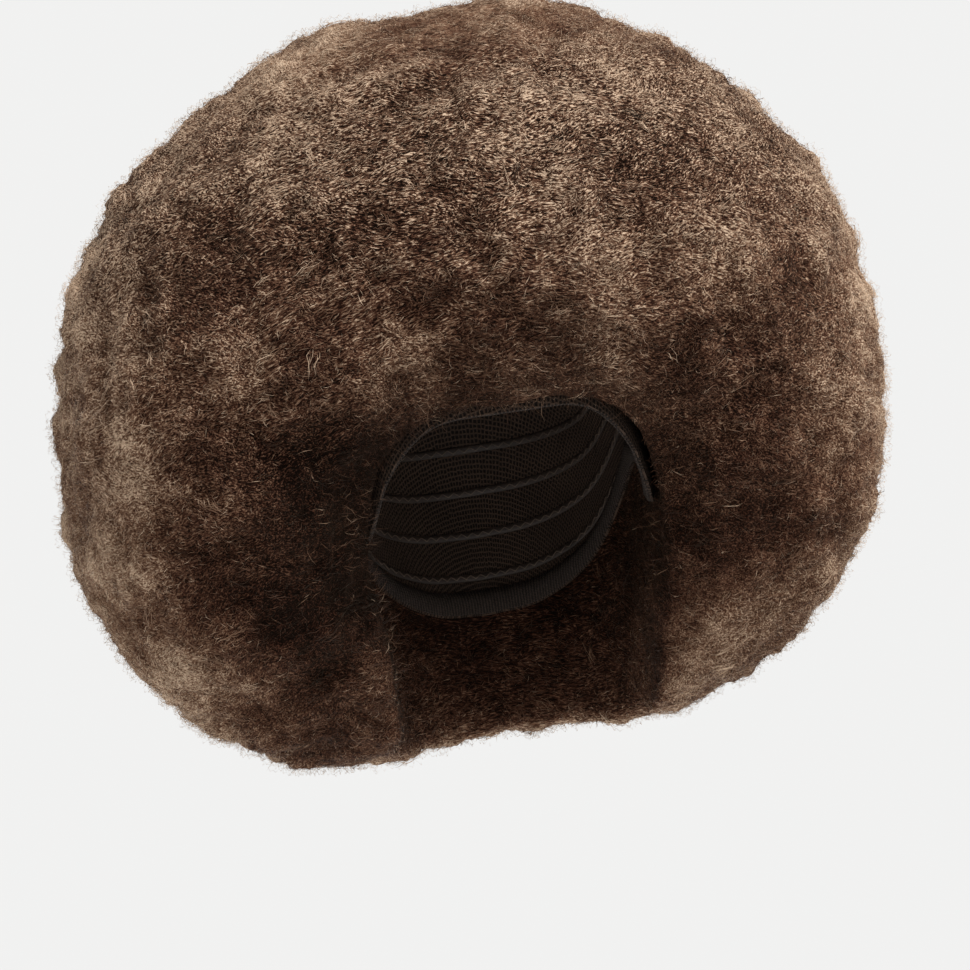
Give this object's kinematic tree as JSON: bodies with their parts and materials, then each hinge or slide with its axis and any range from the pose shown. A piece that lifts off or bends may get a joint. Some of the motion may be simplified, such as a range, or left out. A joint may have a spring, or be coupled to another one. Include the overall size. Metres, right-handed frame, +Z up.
{
  "type": "afro wig",
  "caption": "Large round wig of frizzed brown hair on a stretch cap with an elastic edge band, open for the face and neck.",
  "frame": {"origin": "top of the wearer's head, where the inside of the cap rests on it", "axes": "+Z up through the crown, -Y the way the face looks, +X the wearer's left"},
  "size_m": [0.4446, 0.3727, 0.3954],
  "materials": {
    "hair": "frizzed synthetic fibre, matt with fine glints",
    "cap_net": "matt stretch net",
    "elastic": "matt ribbed elastic"
  },
  "bodies": {
    "root": {"hair": "hair", "stretch_cap": "cap_net", "edge_band": "elastic"}
  },
  "joints": []
}
